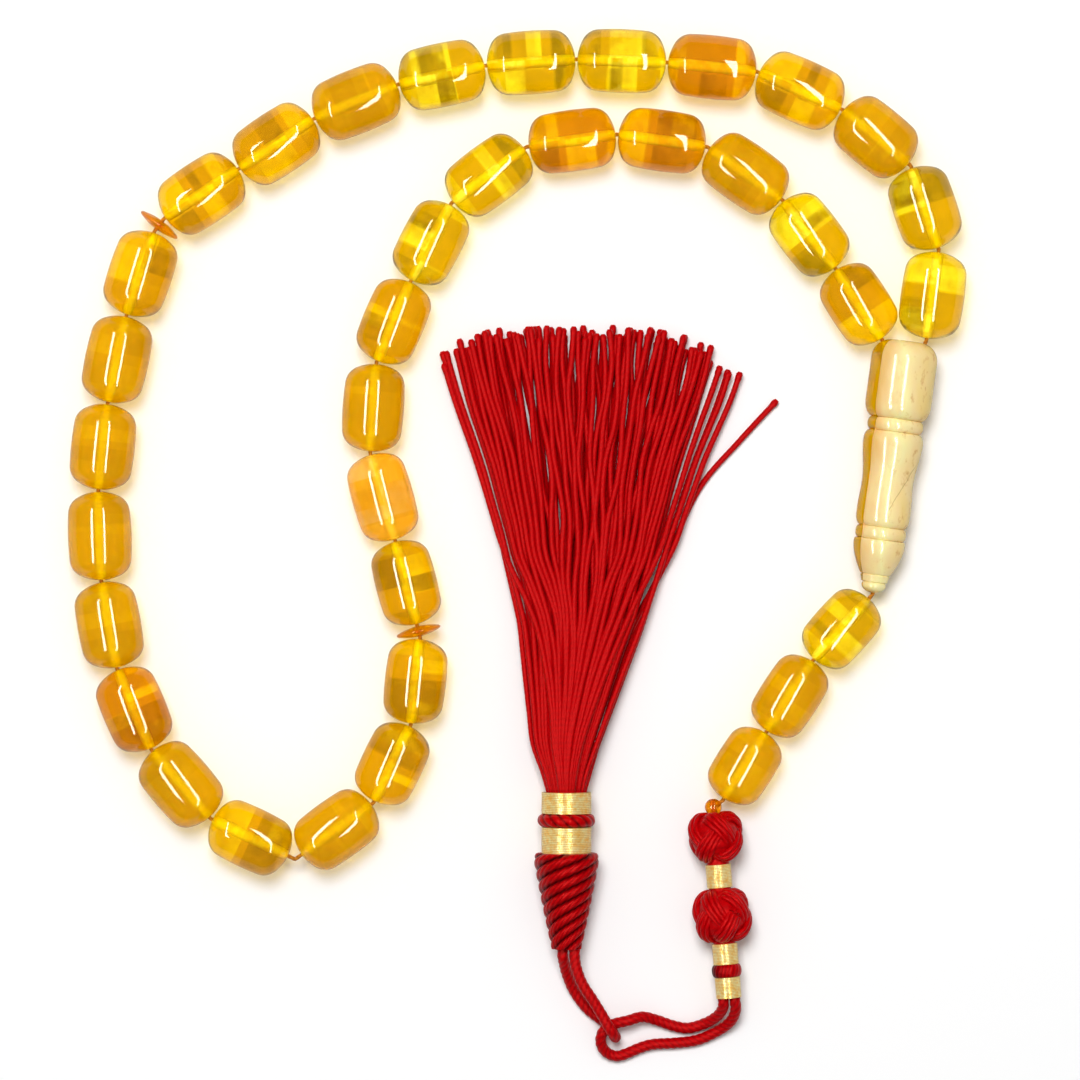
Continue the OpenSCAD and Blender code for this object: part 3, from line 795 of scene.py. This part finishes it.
def make_tassel(mat):
    """Strands in a fan. The outermost are cords, each a piece of its own."""
    rng = random.Random(33)
    seeds = []
    for k in range(STRANDS):
        # Evenly across the fan, but thinner towards its right edge
        share = np.clip((k + rng.uniform(-0.6, 0.6)) / (STRANDS - 1), 0, 1)
        place = np.interp(share, [0, 0.02, 0.05, 0.94, 1], [-1, -0.98, -0.84, 0.74, 1])
        seeds.append((place, HEIGHTS[k % 4] + rng.uniform(-0.05, 0.05)))
    seeds.sort(key=lambda s: -s[1] - abs(s[0]))
    rest = []
    routes = [stray_route()]
    for across, height in seeds:
        reach = np.interp(across, TIP_PLACES, TIP_YS) + rng.uniform(-1.6, 0.7)
        routes.append(strand_route(across, height, reach, rng))
    for i, route in enumerate(routes):
        run = np.linspace(0, 1, len(route))
        # Thin inside the band, and swollen where the tip is sealed
        places = [0, 0.05, 0.3, 0.98, 0.986, 0.996, 1]
        widths = [0.75, 0.78, 1, 1, 1.2, 1.2, 0.7]
        radius = STRAND_D / 2 * np.interp(run, places, widths)
        points, faces, groove = rope(route, radius, 2, 1.9, sides=10, depth=0.1)
        # Its plies are fine and close, so the painted shade in their grooves is kept faint
        groove = groove * 0.3
        if i < LOOSE_CORDS:
            name = f"tassel_strand_{i + 1:02d}"
            piece = add_piece(name, points, faces, mat, "tassel", (), "red_cord", groove=groove)
        else:
            rest.append((points, faces, groove))
    points, faces, groove = joined(rest)
    name = "tassel_strands_inner"
    add_piece(name, points, faces, mat, "tassel", ["tassel_skirt"], "red_cord", groove=groove)


# ---- Beads ----

SHOULDER_R = 3
SIDE_R = 45
BORE_R = 0.6


def bead_profile(length, d):
    """Half outline of a bead from one end of its bore to the other, then back inside it."""
    r, dome_r = d / 2, length / 2
    reach = SIDE_R - r
    c_rad = ((SIDE_R - SHOULDER_R) ** 2 - (dome_r - SHOULDER_R) ** 2 - reach**2) / (2 * reach)
    c_ax = math.sqrt((dome_r - SHOULDER_R) ** 2 - c_rad**2)
    shoulder_from = math.atan2(c_rad, c_ax)
    shoulder_to = math.atan2(c_rad + reach, c_ax)
    mouth = 0.12
    bore_from = math.asin((BORE_R + mouth) / dome_r)
    half = arc((0, 0), dome_r, bore_from, shoulder_from, 10)
    half += arc((c_rad, c_ax), SHOULDER_R, shoulder_from, shoulder_to, 12)[1:]
    half += arc((-reach, 0), SIDE_R, shoulder_to, math.pi / 2, 8)[1:]
    outer = half + [(a, -b) for a, b in reversed(half[:-1])]
    end = outer[0][1] - mouth
    bore = [(BORE_R, s) for s in np.linspace(-end, end, 9)]
    return outer + bore


def across_values(points, centre, axis, r):
    """Places from -1 to 1 across a piece, level with the table."""
    return (points - centre) @ axis_frame(axis)[0] / r


def span_along(node, axis):
    """Length of a CAD node along an axis."""
    corners = nodes[node].data.vertices
    runs = [(nodes[node].matrix_world @ v.co).dot(Vector(axis)) for v in corners]
    return (max(runs) - min(runs)) / MM


def place_bead(node, d, mat, bore, rng):
    centre = node_centre(node)
    axis = joints["spin_" + node]["axis"]
    length = span_along(node, axis)
    profile = bead_profile(length, d)
    steps = 96
    points = lathe(profile, centre, axis, steps)
    faces = [f[::-1] for f in grid_faces(len(profile), steps, closed_rows=True)]
    along = np.repeat([s / length * 2 for _, s in profile], steps)
    across = across_values(points, centre, axis, d / 2)
    piece = add_piece(
        node + "_amber", points, faces, mat, node, [node], "amber",
        sharp=60, along=along, across=across, seed=rng.random(),
    )
    piece.data.materials.append(bore)
    bore_faces = 8 * steps
    inside = [0] * (len(faces) - bore_faces - steps) + [1] * bore_faces + [0] * steps
    piece.data.polygons.foreach_set("material_index", inside)


# Which of the resins each bead is made of, from the imame's right side round to its left
BEAD_KINDS = (
    "clear clear milky honey orange clear clear clear milky honey honey honey milky milky "
    "milky milky orange milky honey milky honey honey honey cloudy milky honey clear clear "
    "orange orange milky clear honey"
).split()
TAIL_KINDS = ["clear", "milky", "milky"]


# The resins: main colour, the colour of the painted light, the deepest colour, which is
# both a cloudy tone and the painted shade, how much light passes, how much scatters inside,
# and how strongly the zones of painted light and shade show
AMBERS = {
    "clear": ((0.72, 0.45, 0.0), (0.95, 0.82, 0.02), (0.42, 0.27, 0.0), 0.95, 0.0, 1.0),
    "honey": ((0.72, 0.4, 0.0), (0.95, 0.68, 0.0), (0.42, 0.22, 0.0), 0.85, 0.1, 0.8),
    "milky": ((0.72, 0.41, 0.0), (0.9, 0.58, 0.0), (0.54, 0.29, 0.0), 0.65, 0.4, 0.4),
    "orange": ((0.7, 0.31, 0.0), (0.95, 0.6, 0.0), (0.42, 0.16, 0.0), 0.85, 0.1, 0.8),
    "disc": ((0.88, 0.33, 0.0), (1.0, 0.5, 0.0), (0.6, 0.2, 0.0), 0.85, 0.1, 0.0),
    "imame": ((0.9, 0.53, 0.0), (0.95, 0.64, 0.0), (0.82, 0.42, 0.0), 0.6, 0.3, 0.0),
    "cloudy": ((0.9, 0.5, 0.02), (0.97, 0.75, 0.3), (0.7, 0.34, 0.0), 0.7, 0.3, 0.5),
}


def make_beads(kinds, bore):
    rng = random.Random(7)
    for i, kind in enumerate(BEAD_KINDS, 1):
        d = BEAD_D if i < SLIM_FROM else SLIM_D
        place_bead(f"bead_{i:02d}", d, kinds[kind], bore, rng)
    for i, kind in enumerate(TAIL_KINDS, 1):
        place_bead(f"tail_bead_{i}", TAIL_BEAD_D, kinds[kind], bore, rng)


DISC_D, DISC_T = 7.2, 1.7


def make_discs(mat):
    """Two thin lenses with a bead of a rim."""
    rim_r = 0.2
    rise = DISC_T / 2 - rim_r
    face_r = (DISC_D**2 / 4 + rise**2) / (2 * rise)
    radii = np.linspace(BORE_R + 0.1, DISC_D / 2 - rim_r, 12)
    face = [(r, DISC_T / 2 - face_r + math.sqrt(face_r**2 - r**2)) for r in radii]
    rim = arc((DISC_D / 2 - rim_r, 0), rim_r, 0.5, math.pi - 0.5, 7)
    profile = face + rim + [(r, -s) for r, s in reversed(face)]
    end = face[0][1] - 0.1
    profile += [(BORE_R, -end), (BORE_R, end)]
    steps = 72
    for i in (1, 2):
        node = f"marker_disc_{i}"
        points = lathe(profile, node_centre(node), joints["spin_" + node]["axis"], steps)
        faces = [f[::-1] for f in grid_faces(len(profile), steps, closed_rows=True)]
        add_piece(node + "_amber", points, faces, mat, node, [node], "disc_amber", sharp=60)


# ---- The imame ----

HEAD_R = 5.3
SEAM_TURN = math.radians(35)
SEAM_OFF = 1


def edge(mid, half, r, drop, start, end, steps=14):
    """Part of an elliptical edge, drop deep and half long to each side of station mid."""
    angles = np.radians(np.linspace(start, end, steps))
    return [(r - drop * (1 - math.sin(a)), mid - half * math.cos(a)) for a in angles]


def turned(radius_at, start, end, steps=24):
    """A turned side whose radius is given for 0 to 1 along it."""
    return [(radius_at(t), start + (end - start) * t) for t in np.linspace(0, 1, steps)]


def imame_profile():
    """From the top of the head to the tip, as in the CAD source."""
    return [
        (0.01, 0),
        *edge(3, 3, HEAD_R, 3, 0, 90),
        *edge(9.9, 2.65, HEAD_R, 1.4, 90, 180),
        *edge(13.6, 1.05, 4.5, 0.6, 0, 180),
        *edge(16.3, 1.65, 4.82, 0.9, 0, 90),
        *turned(lambda t: 4.82 - 0.49 * t - 0.43 * math.sin(math.pi * t) ** 2, 16.4, 28.1),
        *edge(28.2, 1.8, 4.33, 0.8, 90, 180),
        *edge(31, 1, 4.1, 0.5, 0, 180),
        *edge(32.5, 0.45, 4.13, 0.25, 0, 90, 6),
        *turned(lambda t: 4.15 - 1.68 * t**1.7, 32.7, 37.55),
        (2.2, 37.7), (2.35, 37.85), (2.1, 38.8), (1.75, 38.95),
        *edge(39.4, 1.2, 1.95, 1.95, 70, 179),
    ]


def make_imame(ivory, amber):
    """The turned body, cut along the seam into its ivory and its amber halves."""
    steps = 128
    profile = imame_profile()
    points = lathe(profile, HEAD_TOP, IMAME_DIR, steps)
    faces = [f[::-1] for f in grid_faces(len(profile), steps)]
    last = (len(profile) - 1) * steps
    faces.append(tuple(range(steps)))
    faces.append(tuple(range(last, last + steps))[::-1])
    x, y, _ = axis_frame(IMAME_DIR)
    across = x * math.cos(SEAM_TURN) + y * math.sin(SEAM_TURN)
    places = across_values(points, HEAD_TOP, IMAME_DIR, HEAD_R)
    stations = np.repeat([station for _, station in profile], steps)
    halves = (("imame_ivory", ivory, 1), ("imame_amber", amber, -1))
    seam_gap = 0.01
    for node, mat, side in halves:
        piece = add_piece(
            node + "_turned", points, faces, mat, "root", [node], node_slot(node),
            across=places, station=stations,
        )
        mesh = bmesh.new()
        mesh.from_mesh(piece.data)
        cut = bmesh.ops.bisect_plane(
            mesh,
            geom=[*mesh.verts, *mesh.edges, *mesh.faces],
            plane_co=Vector((HEAD_TOP - across * (SEAM_OFF - side * seam_gap)) * MM),
            plane_no=Vector(across * -side),
            clear_outer=True,
        )
        edges = [e for e in cut["geom_cut"] if isinstance(e, bmesh.types.BMEdge)]
        bmesh.ops.triangle_fill(mesh, edges=edges, use_beauty=True)
        bmesh.ops.recalc_face_normals(mesh, faces=mesh.faces)
        mesh.to_mesh(piece.data)
        mesh.free()
        piece.data.set_sharp_from_angle(angle=math.radians(40))


def node_slot(node):
    return next(p["material_slot"] for p in frame["record"]["subparts"] if p["node"] == node)


# ---- Threads ----

THREAD_R = 0.35
HINGE_GAP = 0.35
SEED_HALF = 1.35


def make_threads(mat):
    string = [
        (x, y, (BEAD_D if i <= SLIM_POINT else SLIM_D) / 2) for i, (x, y) in enumerate(STRING)
    ]
    tied = JUNCTION + (np.array(string[-1]) - JUNCTION) * 0.15
    loop = np.array([IMAME_TIP - IMAME_DIR * 0.1, JUNCTION, *string, tied])
    tail = [np.array((x, y, TAIL_BEAD_D / 2)) + SHIFT for x, y in TAIL]
    heading = (tail[1] - tail[0]) / np.linalg.norm(tail[1] - tail[0])
    start = tail[0] + heading * HINGE_GAP
    below = np.array([start, *tail[1:], CORE_A, CORE_A + CORE_DIR * SEED_HALF])
    for node, route, body in (("loop_thread", loop, "root"), ("tail_thread", below, "tail")):
        points, faces, groove = rope(even_steps(route, 0.25), THREAD_R, 2, 1.6, 10, 0.25)
        add_piece(node + "_twist", points, faces, mat, body, [node], "thread", groove=groove)
    # The bare thread between the imame's tip and the tail bends where the tail lifts
    bend = even_steps(np.array([IMAME_TIP - IMAME_DIR * 0.4, tail[0], start + heading * 0.4]), 0.1)
    points, faces, groove = rope(bend, THREAD_R * 0.96, 2, 1.6, sides=10, depth=0.25)
    piece = add_piece("hinge_thread", points, faces, mat, "root", (), "thread", groove=groove)
    piece.parent = None
    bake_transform(piece)


# ---- The tail's knots and sleeves ----

# Station on the core, diameter, bights and turn of each knot
UPPER_KNOT = (4.8, 9.3, 4, 0.2)
LOWER_KNOT = (17.4, 9.8, 5, 1.1)
SLEEVES = [(9.2, 12.9), (21.9, 25.2), (27.3, CORE_LEN)]
SLEEVE_D = 4.1
CORE_R = 1.85


def woven_ball(centre, axis, d, bights, turn):
    """Flat bundles of thread woven round a ball in a three-lead turk's head."""
    x, y, z = axis_frame(axis)
    strand_r, strands, lift, reach = 0.4, 4, 0.5, math.radians(58)
    ball_r = d / 2 - strand_r - lift / 2
    count = 330
    t = np.linspace(0, 6 * math.pi, count, endpoint=False)
    height = reach * np.sin(bights * t / 3)
    normal = (
        np.outer(np.cos(height) * np.cos(t + turn), x)
        + np.outer(np.cos(height) * np.sin(t + turn), y)
        + np.outer(np.sin(height), z)
    )
    level = ball_r + lift * np.sin(2 * bights * t / 3)
    path = normal * level[:, None]
    heading = np.roll(path, -1, axis=0) - np.roll(path, 1, axis=0)
    heading /= np.linalg.norm(heading, axis=1)[:, None]
    side = np.cross(normal, heading)
    parts = []
    for k in range(strands):
        off = (k - (strands - 1) / 2) * strand_r * 1.75
        line = normal + side * off / ball_r
        line /= np.linalg.norm(line, axis=1)[:, None]
        # The middle of a bundle stands higher than its edges
        crown = 0.14 * (off / strand_r / strands * 2) ** 2
        line = centre + line * (level - crown)[:, None]
        parts.append(rope(line, strand_r, 2, 3.5, sides=10, depth=0.06, closed=True))
    inner_r = ball_r - 0.1
    profile = arc((0, 0), inner_r, 0.45, math.pi - 0.45, 24)
    parts.append(wound(profile, centre, axis, 48, 0.5, 0.03, inner=CORE_R))
    points, faces, groove = joined(parts)
    # The painted shade in its grooves is kept faint
    return points, faces, groove * 0.4


def make_knots(mat):
    for node, (station, d, bights, turn) in (
        ("knot_ball_upper", UPPER_KNOT),
        ("knot_ball_lower", LOWER_KNOT),
    ):
        centre = CORE_A + CORE_DIR * station
        points, faces, groove = woven_ball(centre, CORE_DIR, d, bights, turn)
        add_piece(node + "_weave", points, faces, mat, "tail", [node], "red_cord", groove=groove)


def make_sleeves(gold, red):
    for i, (start, end) in enumerate(SLEEVES, 1):
        node = f"gold_sleeve_{i}"
        stations = np.linspace(0, end - start, 100)
        profile = [(SLEEVE_D / 2, s) for s in stations]
        points, faces, groove = wound(
            profile, CORE_A + CORE_DIR * start, CORE_DIR, 64, 0.24, 0.07, inner=CORE_R
        )
        add_piece(
            node + "_winding", points, faces, gold, "tail", [node], "gold_thread", groove=groove
        )
    start, end = SLEEVES[1][1], SLEEVES[2][0]
    half = (end - start) / 2
    outer, thick = SLEEVE_D / 2 + 0.35, 0.55
    round_edge = arc((0, 0), 1, math.pi, 0, 25)
    profile = [(outer - thick * (1 - r), half * (1 + s)) for r, s in round_edge]
    points, faces, groove = wound(
        profile, CORE_A + CORE_DIR * start, CORE_DIR, 96, 60, 0, 1, (22, 2.4, 0.07), CORE_R
    )
    add_piece(
        "cord_ring_wrap", points, faces, red, "tail", ["cord_ring"], "red_cord", groove=groove
    )


# ---- The tassel's head ----

BAND_D, BAND_HOLE = 8, 3.45
CONE_D = 10.8
CONE_FROM, CONE_TO = -54.3, -69.7
DOWN = np.array((0, -1.0, 0))


def on_tassel(y):
    return np.array((TASSEL_X, y, TASSEL_Z)) + SHIFT


def make_tassel_head(gold, red):
    for name, start, end in (("upper", SKIRT_NECK_Y, -48), ("lower", -50.2, CONE_FROM)):
        profile = [(BAND_D / 2, s) for s in np.linspace(0, start - end, 110)]
        points, faces, groove = wound(
            profile, on_tassel(start), DOWN, 96, 0.28, 0.08, inner=BAND_HOLE
        )
        node = "tassel_band_" + name
        add_piece(
            node + "_winding", points, faces, gold, "tassel", [node], "gold_thread", groove=groove
        )
    ring_r, tube_r = 3.55, 1.1
    a = np.linspace(0, 2 * math.pi, 120, endpoint=False)
    circle = np.stack([ring_r * np.cos(a), np.zeros(120), ring_r * np.sin(a)], axis=1)
    points, faces, groove = rope(
        on_tassel(-49.1) + circle, tube_r, 3, 4.5, sides=20, depth=0.16, closed=True
    )
    add_piece(
        "tassel_ring_rope", points, faces, red, "tassel", ["tassel_ring"], "red_cord", groove=groove
    )
    length = CONE_FROM - CONE_TO
    profile = [(0.05, 0.02), (2.5, 0.02)]
    for t in np.linspace(0, 1, 150):
        r = CONE_D / 2 * (1 - 0.56 * t**1.15)
        rounded = min(1, 0.86 + 0.14 * (t / 0.06) ** 0.5)
        profile.append((r * rounded, length * t))
    profile.append((0.05, length))
    points, faces, groove = wound(
        profile, on_tassel(CONE_FROM), DOWN, 192, 1.9, 0.62, -6, (32, 0.95, 0.1)
    )
    add_piece(
        "cone_knot_wraps", points, faces, red, "tassel", ["cone_knot"], "red_cord", groove=groove
    )


def dress(node, mat):
    """A new material on a CAD node that keeps its own shape."""
    materials = nodes[node].data.materials
    materials.clear()
    materials.append(mat)


# ---- The scene ----

make_camera()
make_lights()
make_world()
make_floor()

red = cord_material("red_satin", (0.53, 0.0, 0.002), (0.04, 0.0, 0.001))
deep_red = cord_material("red_silk", (0.56, 0.0, 0.002), (0.03, 0.0, 0.001), 0.3)
make_link_cords(red)
make_tassel(red)
bore = bore_material()
kinds = {name: amber_material("amber_" + name, *look) for name, look in AMBERS.items()}
make_beads(kinds, bore)
make_discs(kinds["disc"])
make_imame(ivory_material(), kinds["imame"])
make_threads(cord_material("golden_thread", (0.55, 0.24, 0.02), (0.2, 0.07, 0.004)))
make_knots(deep_red)
gold = gold_material()
make_sleeves(gold, deep_red)
make_tassel_head(gold, deep_red)
dress("seed_bead", kinds["disc"])
dress("tail_core", red)

bpy.context.scene.view_settings.view_transform = "Standard"
